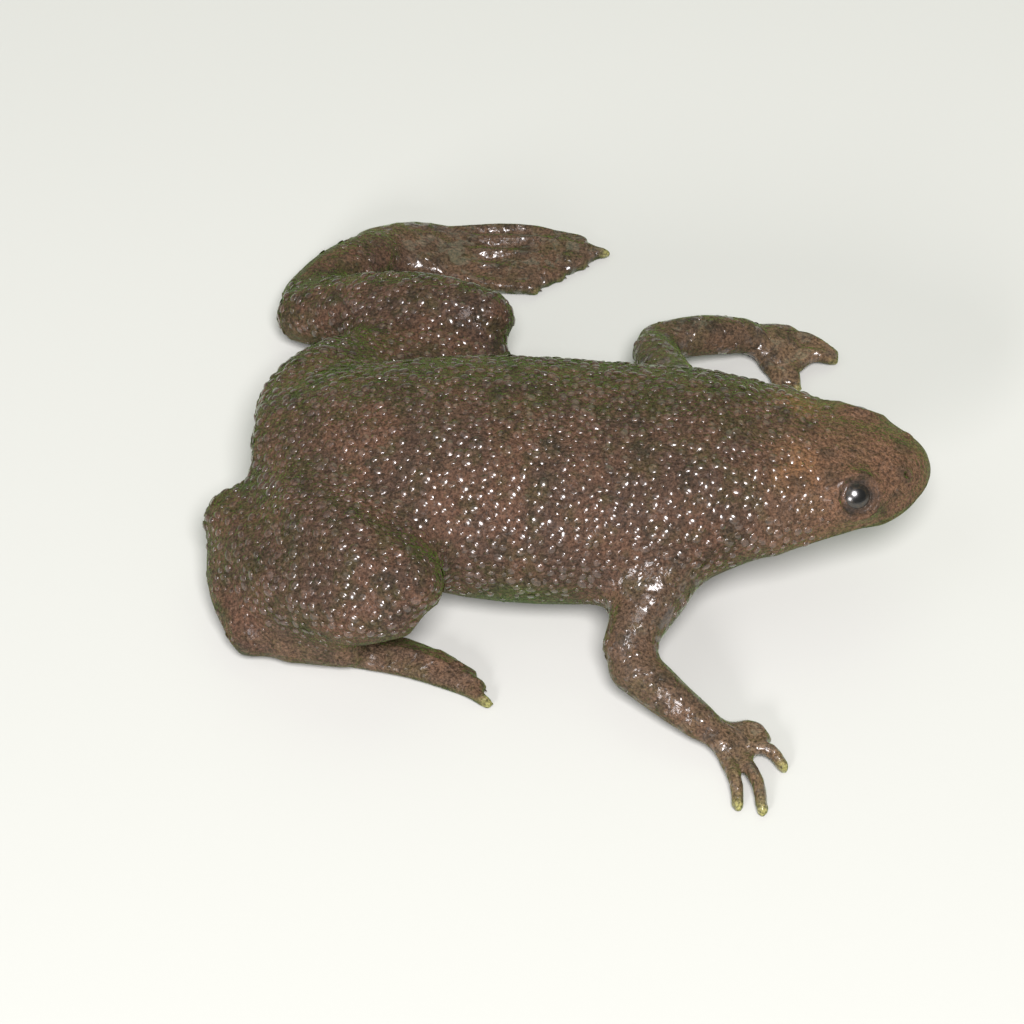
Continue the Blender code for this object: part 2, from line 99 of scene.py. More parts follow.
LID_HEIGHTS = (0.84, 0.68, 0.78, 0.82, 0.77, 0.74)
LID_BLEND = (0.70, 1.02)
SNOUT_TIP = (15.0, 16.2)
SNOUT_SOFTENING = (0.5,) * 50
NOSTRIL_PLACE = (14.95, -1.15, 7.45)
NOSTRIL_RADIUS = 0.13
NOSTRIL_DEPTH = 0.34
NOSTRIL_FLOOR = 0.05
NOSTRIL_MOUTH = 1.25
NOSTRIL_RIM = 0.06
NOSTRIL_RIM_PLACE = 1.7
NOSTRIL_RIM_WIDTH = 0.2
EYE_TO_NOSTRIL_REACH = 3
NOSTRIL_SOFT_REACH = (0.6, 1.6)
NOSTRIL_SOFTENING = (0.5,) * 60
MOUTH_START = (9.8, 5.08)
MOUTH_SLOPE = 0.158
MOUTH_CORNER = 0.8
MOUTH_FINE_BAND = 0.42
MOUTH_LOWEST = 4.5
LIP_GROOVE = 0.12
LIP_GROOVE_WIDTH = 0.09
LIP_SWELLING = 0.05
LIP_SWELLING_PLACE = 0.26
LIP_SWELLING_WIDTH = 0.14
LIP_SOFTENING = (0.4, 0.3)
FINE_RINGS = 3
SKIN_TRIANGLES = 194000


def node_box(node):
    """A node's lowest and highest corners."""
    low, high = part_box(node)
    return np.array(low) / MM, np.array(high) / MM


def unit(vector):
    vector = np.array(vector, float)
    return vector / np.linalg.norm(vector)


def ease(values, start, end):
    """0 at start, 1 at end, and a smooth slope between them."""
    share = np.clip((np.asarray(values, float) - start) / (end - start), 0, 1)
    return share * share * (3 - 2 * share)


eyes = {}
for side, turn in (("right", 1), ("left", -1)):
    low, high = node_box(f"eye_{side}")
    look = unit((EYE_LOOK[0], turn * EYE_LOOK[1], EYE_LOOK[2]))
    centre = (low + high) / 2
    opening = centre + look * EYE_OPENING
    eyes[side] = {"centre": centre, "radius": (high[2] - low[2]) / 2, "look": look, "opening": opening}


def stand(name, data):
    """A new object in the scene."""
    made = bpy.data.objects.new(name, data)
    bpy.context.scene.collection.objects.link(made)
    return made


def mesh_of(shape, name):
    """A bmesh as a plain mesh; the bmesh is used up."""
    mesh = bpy.data.meshes.new(name)
    shape.to_mesh(mesh)
    shape.free()
    return mesh


def shade_smooth(mesh):
    for polygon in mesh.polygons:
        polygon.use_smooth = True


def merged_copy(node):
    """A node's mesh with its loose triangles joined, so that its points have normals."""
    shape = bmesh.new()
    shape.from_mesh(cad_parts[node].data)
    bmesh.ops.remove_doubles(shape, verts=shape.verts, dist=WELD_REACH * MM)
    shape.normal_update()
    return shape


def read_points(mesh):
    points = np.empty(len(mesh.vertices) * 3)
    mesh.vertices.foreach_get("co", points)
    return points.reshape(-1, 3) / MM


def write_points(mesh, points):
    mesh.vertices.foreach_set("co", (points * MM).ravel())
    mesh.update()


def read_edges(mesh):
    edges = np.empty(len(mesh.edges) * 2, int)
    mesh.edges.foreach_get("vertices", edges)
    return edges.reshape(-1, 2)


def read_normals(mesh):
    normals = np.empty(len(mesh.vertices) * 3, np.float32)
    mesh.vertex_normals.foreach_get("vector", normals)
    return normals.reshape(-1, 3).astype(float)


def patch_of(name):
    """The words that name a piece of flesh, without its side."""
    return name.removesuffix("_left").removesuffix("_right")


def nearest_pieces(points):
    """For each point, which piece of flesh is nearest, and how far the next nearest one is."""
    nearest = np.full(len(points), FAR_AWAY)
    following = nearest.copy()
    which = np.zeros(len(points), int)
    for index, name in enumerate(FLESH):
        low, high = node_box(name)
        inside = (points > low - SEARCH_REACH) & (points < high + SEARCH_REACH)
        close = np.where(inside.all(axis=1))[0]
        shape = merged_copy(name)
        tree = BVHTree.FromBMesh(shape)
        away = np.array([tree.find_nearest(Vector(point) * MM)[3] for point in points[close]]) / MM
        shape.free()
        closer = away < nearest[close]
        following[close] = np.where(closer, nearest[close], np.minimum(following[close], away))
        which[close[closer]] = index
        nearest[close] = np.minimum(nearest[close], away)
    return which, following


def belongs(which, names):
    """Whether each point lies nearest to one of these pieces of flesh."""
    return np.isin(which, [FLESH.index(name) for name in names])


def by_piece(table, which):
    """Each point's value in a table that names pieces of flesh with or without their side."""
    return np.array([table.get(name, table.get(patch_of(name), 0.0)) for name in FLESH])[which]


def claw_ends(node):
    """The middle of a claw's broad end, its tip and its half width."""
    body = read_points(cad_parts[node].data)
    middle = body.mean(axis=0)
    axis = np.linalg.eigh(np.cov((body - middle).T))[1][:, 2]
    along = (body - middle) @ axis
    reach = np.linalg.norm(body - middle - np.outer(along, axis), axis=1)
    back, front = np.percentile(along, CLAW_END_PERCENTILES)
    if reach[along > front].mean() > reach[along < back].mean():
        along, axis = -along, -axis
    half_width = np.percentile(reach, CLAW_BREADTH_PERCENTILE)
    return middle + axis * along.min(), middle + axis * along.max(), half_width


def swollen_flesh():
    """Every piece of flesh swollen by SWELL, with the eye sockets and toe ends filled, in one mesh."""
    joined = bmesh.new()
    for name in FLESH:
        piece = merged_copy(name)
        moves = [vert.normal * SWELL * MM for vert in piece.verts]
        if name in EXTREMITIES:
            following = nearest_pieces(np.array([vert.co for vert in piece.verts]) / MM)[1]
            moves = [move * share for move, share in zip(moves, 1 - ease(following, *SWELL_REACH))]
        for vert, move in zip(piece.verts, moves):
            vert.co += move
        mesh = mesh_of(piece, "piece")
        joined.from_mesh(mesh)
        bpy.data.meshes.remove(mesh)
    for eye in eyes.values():
        radius = (eye["radius"] + SOCKET_WALL) * MM
        plug = bmesh.ops.create_icosphere(joined, subdivisions=4, radius=radius)
        look = Vector(eye["look"])
        flat = (SOCKET_FLAT * eye["radius"] + SWELL) * MM
        for vert in plug["verts"]:
            over = vert.co.dot(look) - flat
            if over > 0:
                vert.co -= look * over
            vert.co += Vector(eye["centre"]) * MM
    for node in CLAW_NODES:
        base, tip, _ = claw_ends(node)
        for share in TOE_END_STEPS:
            place = base + (tip - base) * share
            place[2] = max(place[2], TOE_END_RADIUS)
            matrix = Matrix.Translation(Vector(place) * MM)
            bmesh.ops.create_icosphere(joined, subdivisions=3, radius=TOE_END_RADIUS * MM, matrix=matrix)
    return mesh_of(joined, "flesh")


def plain_mesh(form):
    """An object's mesh with its modifiers applied; the object is used up."""
    result = bpy.data.meshes.new_from_object(form.evaluated_get(bpy.context.evaluated_depsgraph_get()))
    bpy.data.objects.remove(form)
    return result


def changed(mesh, kind, weights=None, **settings):
    """A mesh after one modifier."""
    form = stand("form", mesh)
    modifier = form.modifiers.new("step", kind)
    if weights is not None:
        group = form.vertex_groups.new(name="weights")
        for level in np.unique(weights):
            group.add(np.where(weights == level)[0].tolist(), float(level), "REPLACE")
        modifier.vertex_group = "weights"
    for name, value in settings.items():
        setattr(modifier, name, value)
    return plain_mesh(form)


def neighbour_mean(values, edges):
    """Each point's mean over its neighbours."""
    first, second = edges.T
    size = len(values)
    count = np.bincount(edges.ravel(), minlength=size)
    columns = values.reshape(size, -1).T
    sums = [np.bincount(first, c[second], size) + np.bincount(second, c[first], size) for c in columns]
    return (np.array(sums) / count).T.reshape(values.shape)


def relaxed(points, edges, share, steps):
    """Moves the points towards their neighbours' mean, or away from it where a step is negative."""
    for step in steps:
        points = points + step * share[:, None] * (neighbour_mean(points, edges) - points)
    return points


def bridged(mesh, points, edges, share):
    """Stretches the skin over folds: points go to their neighbours' mean only where that is outwards."""
    for step in range(FOLD_STEPS):
        if step % FOLD_NORMALS_EVERY == 0:
            write_points(mesh, points)
            normals = read_normals(mesh)
        pull = neighbour_mean(points, edges) - points
        outwards = (pull * normals).sum(axis=1) > 0
        points = points + FOLD_PULL * (share * outwards)[:, None] * pull
    return points


def refined(mesh, picked):
    """Splits the faces around the picked points into four."""
    shape = bmesh.new()
    shape.from_mesh(mesh)
    shape.verts.ensure_lookup_table()
    faces = {face for index in np.where(picked)[0] for face in shape.verts[index].link_faces}
    edges = {edge for face in faces for edge in face.edges}
    bmesh.ops.subdivide_edges(shape, edges=list(edges), cuts=1, use_grid_fill=True)
    shape.to_mesh(mesh)
    shape.free()


def distance_to(points, places):
    """Each point's distance to the nearest of some places."""
    return np.min([np.linalg.norm(points - place, axis=1) for place in places], axis=0)


def eye_distance(points):
    return distance_to(points, [eye["opening"] for eye in eyes.values()])


def nostril_distance(points):
    x, y, z = NOSTRIL_PLACE
    return distance_to(points, np.array([(x, y, z), (x, 2 * HEAD_MIDDLE_Y - y, z)]))


def over_mouth(points):
    """Height over the line of the mouth."""
    return points[:, 2] - MOUTH_START[1] - (points[:, 0] - MOUTH_START[0]) * MOUTH_SLOPE


def ahead_of_neck(points, blend):
    """0 behind the neck, 1 on the head, and a smooth slope as long as the blend between them."""
    return ease(points[:, 0], HEAD_BACK, HEAD_BACK + blend)


# the joined flesh is let down again, its seams melt together and its folds are bridged
skin_mesh = changed(swollen_flesh(), "REMESH", mode="VOXEL", voxel_size=SKIN_CELL * MM)
points = read_points(skin_mesh)
edges = read_edges(skin_mesh)
which, following = nearest_pieces(points)
at_end = belongs(which, EXTREMITIES)
swell = SWELL * np.where(at_end, 1 - ease(following, *SWELL_REACH), 1.0)
points -= read_normals(skin_mesh) * swell[:, None]
seam = (1 - ease(following, *SEAM_REACH)) * np.where(at_end, EXTREMITY_MELTING, 1.0)
points = relaxed(points, edges, seam, SEAM_MELTING)
fold = by_piece(FOLD_BRIDGING, which) * (1 - ease(following, *FOLD_REACH))
toe_ends = distance_to(points, [claw_ends(node)[0] for node in CLAW_NODES])
fold = np.maximum(fold, 1 - ease(toe_ends, *TOE_END_REACH))
for _ in range(FOLD_BLUR):
    fold = neighbour_mean(fold, edges)
points = bridged(skin_mesh, points, edges, fold)
web_share = np.maximum(EXTREMITY_SMOOTHING, 1 - ease(points[:, 2], *WEB_HEIGHT))
points = relaxed(points, edges, np.where(at_end, web_share, 1.0), SMOOTHING_PAIR * SMOOTHING)

# toes and fingers stand a little prouder of the thin skin between them
write_points(skin_mesh, points)
flatter = relaxed(points, edges, at_end * 1.0, TOE_FLATTENING)
facing_up = read_normals(skin_mesh)[:, 2] ** 2
relief = (points - flatter)[:, 2] * facing_up * ease(following, *TOE_RELIEF_REACH)
points[:, 2] = np.maximum(points[:, 2] + at_end * TOE_RELIEF * relief, FLOOR_GAP)

# the head is softer, above all round the eyes and nostrils and at the tip of the snout
on_head = ahead_of_neck(points, HEAD_BLEND) * belongs(which, ["head"])
points = relaxed(points, edges, on_head, HEAD_SOFTENING)
round_eyes = 1 - ease(eye_distance(points), *EYE_SOFT_REACH)
points = relaxed(points, edges, on_head * round_eyes, EYE_SOFTENING)
round_nostrils = 1 - ease(nostril_distance(points), *NOSTRIL_SOFT_REACH)
points = relaxed(points, edges, on_head * round_nostrils, NOSTRIL_SOFTENING)
points = relaxed(points, edges, ease(points[:, 0], *SNOUT_TIP), SNOUT_SOFTENING)
write_points(skin_mesh, points)

# smaller faces for lids, nostrils and lips
for reach in EYE_FINE_REACHES:
    points = read_points(skin_mesh)
    near_nostril = nostril_distance(points) < reach / EYE_TO_NOSTRIL_REACH
    refined(skin_mesh, (eye_distance(points) < reach) | near_nostril)
points = read_points(skin_mesh)
ahead_of_corner = (points[:, 0] > MOUTH_START[0]) & (points[:, 2] > MOUTH_LOWEST)
refined(skin_mesh, (np.abs(over_mouth(points)) < MOUTH_FINE_BAND) & ahead_of_corner)
points = read_points(skin_mesh)
edges = read_edges(skin_mesh)
fine_head = ahead_of_neck(points, HEAD_FINE_BLEND)
points = relaxed(points, edges, fine_head, SMOOTHING_PAIR * HEAD_FINE_SMOOTHING)
write_points(skin_mesh, points)
normals = read_normals(skin_mesh)

# lids: a soft rim round each eye, inside which the skin drops under the eyeball
for eye in eyes.values():
    away = points - eye["centre"]
    height = away @ eye["look"]
    across = np.linalg.norm(away - np.outer(height, eye["look"]), axis=1)
    rim = np.interp(across, LID_RADII, LID_HEIGHTS) * eye["radius"]
    weight = (1 - ease(across, *LID_BLEND)) * (height > 0)
    points += np.outer(weight * (rim - height), eye["look"])

# nostrils: a small round pit with a soft rim
far = nostril_distance(points)
rim = 1 - ease(np.abs(far - NOSTRIL_RADIUS * NOSTRIL_RIM_PLACE), 0, NOSTRIL_RIM_WIDTH)
pit = 1 - ease(far, NOSTRIL_FLOOR, NOSTRIL_RADIUS * NOSTRIL_MOUTH)
points += normals * (NOSTRIL_RIM * rim - NOSTRIL_DEPTH * pit)[:, None]

# lips: a fine groove round the snout between two soft swellings
over = over_mouth(points)
along = ease(points[:, 0], MOUTH_START[0], MOUTH_START[0] + MOUTH_CORNER)
groove = np.exp(-((over / LIP_GROOVE_WIDTH) ** 2))
swelling = np.exp(-(((np.abs(over) - LIP_SWELLING_PLACE) / LIP_SWELLING_WIDTH) ** 2))
points += normals * ((LIP_SWELLING * swelling - LIP_GROOVE * groove) * along)[:, None]
points = relaxed(points, edges, ahead_of_neck(points, HEAD_FINE_BLEND), LIP_SOFTENING)
write_points(skin_mesh, points)

# the skin is thinned out, but keeps its small faces on head, hands and feet
which, following = nearest_pieces(points)
fine = belongs(which, EXTREMITIES) | (points[:, 0] > HEAD_BACK + HEAD_FINE_BLEND)
for _ in range(FINE_RINGS):
    fine = fine | (neighbour_mean(fine.astype(float), edges) > 0)
triangles = sum(len(polygon.vertices) - 2 for polygon in skin_mesh.polygons)
skin_mesh = changed(skin_mesh, "TRIANGULATE")
skin_mesh = changed(skin_mesh, "DECIMATE", weights=1.0 - fine, ratio=SKIN_TRIANGLES / triangles)
points = read_points(skin_mesh)
edges = read_edges(skin_mesh)
normals = read_normals(skin_mesh)
which, following = nearest_pieces(points)

# markings that follow the body: how warty, wet and fair it is, its undersides (which carry a partly painted
# green reflection), and its thin ends
WARTINESS = {
    "torso": 1.0, "head": 0.95, "thigh": 1.0, "shank": 0.95, "ankle": 0.50, "foot": 0.0,
    "upper_arm": 0.40, "forearm": 0.30, "hand": 0.0,
}
WETNESS = {
    "torso": 0.03, "head": 0.07, "thigh": 0.03, "shank": 0.08, "ankle": 0.15, "foot_left": 1.0,
    "foot_right": 0.15, "upper_arm_left": 0.80, "upper_arm_right": 0.85, "forearm_left": 1.0,
    "forearm_right": 0.42, "hand": 1.0,
}
FAIRNESS = {"hand": 1.0, "forearm": 0.50, "upper_arm": 0.35, "foot": 0.40, "head": 0.25}
BARE_UNDERSIDE = (-0.6, -0.1)
BARE_LIDS = (1.2, 2.2)
BARE_SNOUT = (9.8, 12.5)
SNOUT_BARENESS = 0.97
LID_WET_REACH = (0.75, 1.2)
LID_WETNESS = 0.12
LID_GLEAM = 0.8
LID_GLEAM_WAY = (-0.75, 0.30, 0.60)
LID_GLEAM_SPREAD = (0.35, 0.75)
UNDERSIDE_SLOPE = (-0.30, 0.40)
UNDERSIDE_GAP = (4.0, 1.5)
UNDERSIDE_TO_LIDS = (1.2, 2.0)
BULGE_LIMIT = 12
THIN_BULGE = (2.9, 6.5)
MARKING_BLUR = 12


def bulge(points, edges, normals):
    """How strongly the skin bends outwards at each point, for each millimetre along it."""
    outwards = -((neighbour_mean(points, edges) - points) * normals).sum(axis=1)
    lengths = np.linalg.norm(points[edges[:, 0]] - points[edges[:, 1]], axis=1)
    squares = np.bincount(edges.ravel(), np.repeat(lengths, 2) ** 2, len(points))
    count = np.bincount(edges.ravel(), minlength=len(points))
    return 4 * outwards / (squares / count)


from_eye = eye_distance(points)
warty = by_piece(WARTINESS, which) * ease(normals[:, 2], *BARE_UNDERSIDE) * ease(from_eye, *BARE_LIDS)
warty = warty * (1 - SNOUT_BARENESS * ease(points[:, 0], *BARE_SNOUT))
gleam = np.max([unit(LID_GLEAM_WAY) @ (points - eye["opening"]).T for eye in eyes.values()], axis=0)
gleam = LID_WETNESS + LID_GLEAM * ease(gleam, *LID_GLEAM_SPREAD)
wet = np.maximum(by_piece(WETNESS, which), (1 - ease(from_eye, *LID_WET_REACH)) * gleam)
# undersides that face down, away from folds and lids: where the green is painted, partly as reflection
underside = (1 - ease(normals[:, 2], *UNDERSIDE_SLOPE)) * (1 - ease(following, *UNDERSIDE_GAP))
underside = underside * ease(from_eye, *UNDERSIDE_TO_LIDS)
thin = belongs(which, EXTREMITIES) * np.clip(bulge(points, edges, normals), 0, BULGE_LIMIT)
fair = by_piece(FAIRNESS, which)
markings = {"warty": warty, "wet": wet, "fair": fair, "underside": underside, "thin": thin}
for name, values in markings.items():
    for _ in range(MARKING_BLUR):
        values = neighbour_mean(values, edges)
    if name == "thin":
        values = ease(values, *THIN_BULGE)
    attribute = skin_mesh.attributes.new(name, "FLOAT", "POINT")
    attribute.data.foreach_set("value", values.astype(np.float32))
shade_smooth(skin_mesh)
skin = stand("skin", skin_mesh)

# Finish of the skin: brown over rust, with dark blotches, greener undersides that are partly the frog's
# olive and partly painted green reflection, painted shade between the warts and round the eyes, pale specks
# and pale thin toe ends, under a clear wet film. All patterns run in the frog's own millimetres.
BROWN = (0.052, 0.030, 0.020)
RUST = (0.079, 0.041, 0.025)
OLIVE = (0.038, 0.031, 0.012)
# dark of the blotches and specks, also the colour of the painted shade between the warts
BLOTCH_AND_PAINTED_SHADE = (0.020, 0.016, 0.010)
TAN = (0.152, 0.093, 0.061)
FAIR = (0.130, 0.089, 0.050)
WARM_HEAD = (0.108, 0.053, 0.029)
# olive of the lower flanks, laid on the undersides also as a painted green reflection
OLIVE_FLANK_AND_PAINTED_REFLECTION = (0.030, 0.048, 0.010)
PALE_END = (0.230, 0.220, 0.075)
OCHRE = (0.180, 0.088, 0.036)
# painted shade of the socket round each eye
PAINTED_EYE_SHADE = (0.018, 0.018, 0.016)
GREEN_RIM = (0.16, 0.40, 0.03)
OCHRE_PLACES = ((9.6, -2.0, 8.5), (9.6, 2.2, 8.5))
OCHRE_REACH = (0.2, 1.8)
PAINTED_EYE_SHADE_REACH = (0.50, 1.25)
BEND_SCALE = 0.9
BEND_MIDDLE = (0.5, 0.5, 0.5)
BEND_REACH = 1.6
MOTTLE_SCALE = 0.42
OLIVE_SCALE = 0.9
BLOTCH_SCALE = 0.62
BLOTCH_SCATTER = 0.9
GRAIN_SCALE = 7.0
PALE_SPECK_SCALE = 4.4
DARK_SPECK_SCALE = 3.7
PEBBLE_SCALE = 3.8
WRINKLE_SCALE = 2.6
WRINKLE_STRETCH = (1.0, 2.2, 2.2)
BEAD_SCALE = 2.3
POOL_SCALE = 1.5
FAIR_SHARE = 0.6
OCHRE_SHARE = 0.6
PALE_END_SHARE = 0.9
PAINTED_SHADE_BETWEEN_WARTS_SHARE = 0.15
WART_TOP_SHARE = 0.06
PAINTED_EYE_SHADE_SHARE = 0.80
PEBBLE_HEIGHT = -0.9
GRAIN_HEIGHT = 0.7
BEAD_HEIGHT = -1.5
FILM_GRAIN_HEIGHT = 0.12
SKIN_RELIEF = 0.8
FILM_RELIEF = 0.6
RELIEF_DEPTH = 0.10
FILM_ROUGHNESS = 0.20
FILM_GLOSS = 1.6

# where a pattern starts and ends, and, where four values stand, what it starts and ends at
MOTTLE_RANGE = (0.40, 0.62)
OLIVE_RANGE = (0.46, 0.68, 0.0, 0.8)
WARM_HEAD_RANGE = (7.5, 11.0, 0.0, 0.55)
BLOTCH_RANGE = (0.10, 0.44, 0.65, 0.0)
OLIVE_FLANK_AND_PAINTED_REFLECTION_RANGE = (0.1, 0.9, 0.0, 0.85)
GRAIN_RANGE = (0.32, 0.68, 0.35, 1.75)
PALE_SPECK_RANGE = (0.54, 0.70, 0.0, 0.7)
DARK_SPECK_RANGE = (0.30, 0.46, 0.7, 0.0)
SMOOTH_WART_RANGE = (0.2, 0.8, 1.0, 0.0)
WET_WART_RANGE = (0.2, 0.7)
POOL_RANGE = (0.48, 0.57, 0.08, 1.0)


class Finish:
    """A material and the short calls that its node tree is built from."""

    def __init__(self, name):
        self.material = bpy.data.materials.new(name)
        self.material.use_nodes = True
        self.nodes = self.material.node_tree.nodes
        self.surface = self.nodes["Principled BSDF"]

    def put(self, socket, value):
        """Links a socket to another one, or sets it to a number, colour or vector."""
        if isinstance(value, bpy.types.NodeSocket):
            self.material.node_tree.links.new(value, socket)
        elif isinstance(value, tuple) and len(value) == 3 and len(socket.default_value) == 4:
            socket.default_value = (*value, 1)
        else:
            socket.default_value = value

    def dress(self, inputs):
        """Sets or links the surface's own sockets."""
        for name, value in inputs.items():
            self.put(self.surface.inputs[name], value)

    def node(self, kind, inputs=(), **settings):
        made = self.nodes.new(kind)
        for name, value in settings.items():
            setattr(made, name, value)
        for key, value in dict(inputs).items():
            self.put(made.inputs[key], value)
        return made

    def maths(self, operation, *values):
        return self.node("ShaderNodeMath", enumerate(values), operation=operation).outputs[0]

    def vectors(self, operation, first, second):
        """Vector maths, in which the second value of SCALE is a factor."""
        inputs = {0: first, 3 if operation == "SCALE" else 1: second}
        outputs = self.node("ShaderNodeVectorMath", inputs, operation=operation).outputs
        return outputs["Value" if operation == "DISTANCE" else "Vector"]

    def millimetres(self, stretch=(1, 1, 1)):
        """The place on the frog, in millimetres along its own axes."""
        place = self.node("ShaderNodeTexCoord").outputs["Object"]
        scale = tuple(value / MM for value in stretch)
        return self.node("ShaderNodeMapping", {"Vector": place, "Scale": scale}).outputs[0]

    def noise(self, place, scale, detail=3.0, roughness=0.55, distortion=0.0):
        inputs = {"Vector": place, "Scale": scale, "Detail": detail}
        inputs |= {"Roughness": roughness, "Distortion": distortion}
        return self.node("ShaderNodeTexNoise", inputs).outputs["Fac"]

    def cells(self, place, scale, randomness=1.0, feature="F1"):
        """The distance to the middle of the nearest cell."""
        inputs = {"Vector": place, "Scale": scale, "Randomness": randomness}
        return self.node("ShaderNodeTexVoronoi", inputs, feature=feature).outputs["Distance"]

    def slope(self, value, start, end, low=0.0, high=1.0):
        """Maps start..end smoothly to low..high."""
        inputs = {"Value": value, "From Min": start, "From Max": end, "To Min": low, "To Max": high}
        return self.node("ShaderNodeMapRange", inputs, interpolation_type="SMOOTHSTEP").outputs[0]

    def mix(self, share, first, second, blend="MIX"):
        inputs = {0: share, 6: first, 7: second}
        return self.node("ShaderNodeMix", inputs, data_type="RGBA", blend_type=blend).outputs[2]

    def attribute(self, name):
        return self.node("ShaderNodeAttribute", attribute_name=name).outputs["Fac"]

    def near(self, place, spot, start, end):
        """1 within start of a spot, 0 beyond end."""
        return self.slope(self.vectors("DISTANCE", place, spot), start, end, 1.0, 0.0)

    def bump(self, height, strength):
        inputs = {"Height": height, "Strength": strength, "Distance": RELIEF_DEPTH * MM}
        return self.node("ShaderNodeBump", inputs).outputs[0]


def skin_finish():
    finish = Finish("wet_warty_skin")
    maths, mix, noise, slope = finish.maths, finish.mix, finish.noise, finish.slope
    place = finish.millimetres()
    wander = {"Vector": place, "Scale": BEND_SCALE, "Detail": 3.0}
    wander = finish.node("ShaderNodeTexNoise", wander).outputs["Color"]
    wander = finish.vectors("SUBTRACT", wander, BEND_MIDDLE)
    bent = finish.vectors("ADD", place, finish.vectors("SCALE", wander, BEND_REACH))

    # broad colours, from the back to the undersides and toe ends
    colour = mix(slope(noise(place, MOTTLE_SCALE, detail=4), *MOTTLE_RANGE), BROWN, RUST)
    colour = mix(slope(noise(place, OLIVE_SCALE, detail=4), *OLIVE_RANGE), colour, OLIVE)
    along = finish.node("ShaderNodeSeparateXYZ", {"Vector": bent}).outputs["X"]
    colour = mix(slope(along, *WARM_HEAD_RANGE), colour, WARM_HEAD)
    colour = mix(maths("MULTIPLY", finish.attribute("fair"), FAIR_SHARE), colour, FAIR)
    for spot in OCHRE_PLACES:
        ochre = maths("MULTIPLY", finish.near(bent, spot, *OCHRE_REACH), OCHRE_SHARE)
        colour = mix(ochre, colour, OCHRE)
    blotches = finish.cells(bent, BLOTCH_SCALE, randomness=BLOTCH_SCATTER)
    colour = mix(slope(blotches, *BLOTCH_RANGE), colour, BLOTCH_AND_PAINTED_SHADE)
    # greener undersides: partly the frog's own olive, partly painted green reflection at the lower edges
    colour = mix(slope(finish.attribute("underside"), *OLIVE_FLANK_AND_PAINTED_REFLECTION_RANGE), colour, OLIVE_FLANK_AND_PAINTED_REFLECTION)
    colour = mix(maths("MULTIPLY", finish.attribute("thin"), PALE_END_SHARE), colour, PALE_END)

    # grain and specks, painted shade between the warts, and painted shade in the dark ring round each eye
    grain = noise(place, GRAIN_SCALE, detail=4, roughness=0.75)
    pale_specks = noise(place, PALE_SPECK_SCALE, roughness=0.7)
    dark_specks = noise(place, DARK_SPECK_SCALE, roughness=0.7)
    colour = mix(1.0, colour, slope(grain, *GRAIN_RANGE), "MULTIPLY")
    colour = mix(slope(pale_specks, *PALE_SPECK_RANGE), colour, TAN)
    colour = mix(slope(dark_specks, *DARK_SPECK_RANGE), colour, BLOTCH_AND_PAINTED_SHADE)
    wart = finish.attribute("wart")
    # painted shade: the skin in the gaps between the warts and round their feet is darkened
    between = maths("MULTIPLY", finish.attribute("warty"), maths("SUBTRACT", 1.0, wart))
    colour = mix(maths("MULTIPLY", between, PAINTED_SHADE_BETWEEN_WARTS_SHARE), colour, BLOTCH_AND_PAINTED_SHADE)
    colour = mix(maths("MULTIPLY", wart, WART_TOP_SHARE), colour, TAN)
    # painted shade: the skin round each eye is darkened as in the shade of its socket
    for eye in eyes.values():
        shade = finish.near(bent, tuple(eye["opening"]), *PAINTED_EYE_SHADE_REACH)
        colour = mix(maths("MULTIPLY", shade, PAINTED_EYE_SHADE_SHARE), colour, PAINTED_EYE_SHADE)

    # fine pebbles and wrinkles in the skin itself, and a film that lies in beads and pools over it
    pebbles = maths("MULTIPLY", finish.cells(bent, PEBBLE_SCALE), PEBBLE_HEIGHT)
    stretched = finish.millimetres(WRINKLE_STRETCH)
    wrinkles = noise(stretched, WRINKLE_SCALE, roughness=0.65, distortion=1.2)
    height = maths("ADD", maths("ADD", pebbles, wrinkles), maths("MULTIPLY", grain, GRAIN_HEIGHT))
    beads = maths("MULTIPLY", finish.cells(bent, BEAD_SCALE, feature="SMOOTH_F1"), BEAD_HEIGHT)
    film_height = maths("ADD", beads, maths("MULTIPLY", grain, FILM_GRAIN_HEIGHT))
    film_height = maths("MULTIPLY", film_height, slope(wart, *SMOOTH_WART_RANGE))
    pools = slope(noise(bent, POOL_SCALE, detail=2), *POOL_RANGE)
    wet = maths("MULTIPLY", finish.attribute("wet"), pools)
    finish.dress({
        "Base Color": colour, "Roughness": 0.58, "Specular IOR Level": 0.14,
        "Normal": finish.bump(height, SKIN_RELIEF),
        "Coat Weight": maths("MAXIMUM", wet, slope(wart, *WET_WART_RANGE)),
        "Coat Roughness": FILM_ROUGHNESS, "Coat IOR": FILM_GLOSS,
        "Coat Normal": finish.bump(film_height, FILM_RELIEF),
        "Sheen Weight": 0.25, "Sheen Roughness": 0.25, "Sheen Tint": GREEN_RIM,
    })
    return finish.material


skin_material = skin_finish()
skin_mesh.materials.clear()
skin_mesh.materials.append(skin_material)
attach(skin, "root")
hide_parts(*FLESH)

# Warts: low round bumps set close over back, flanks and legs, each with a smooth top that glints. They
# are scattered on the skin by geometry nodes from one small dome, and keep the skin's own markings.
WART_RADIUS = 0.24
WART_HEIGHT = 0.059
WART_SPACING = 0.38
WART_SIZES = (0.50, 1.30)
WART_SQUASH = ((0.85, 1.0, 0.7), (1.0, 1.25, 1.3))
SPARSE_WART_SIZE = 0.45
WART_LEAN = 0.22
WART_SIDES = 10
WART_RINGS = ((0.42, 0.84, 1.0), (0.72, 0.46, 0.7), (1.0, -0.25, 0.0))
WART_DENSITY = 20.0
WART_GROUPS = {
    "warts_trunk": ("torso", "head"), "warts_limbs": ("thigh", "shank", "ankle", "foot", "arm", "hand"),
}
BAKE_PATCH = 0.003
BAKE_MARGIN = 0.03
BAKE_ROOM = 1.05


def wart_ring():
    """The ways from a wart's middle to the corners of a ring."""
    angles = [math.tau * side / WART_SIDES for side in range(WART_SIDES)]
    return np.array([(math.cos(angle), math.sin(angle)) for angle in angles])


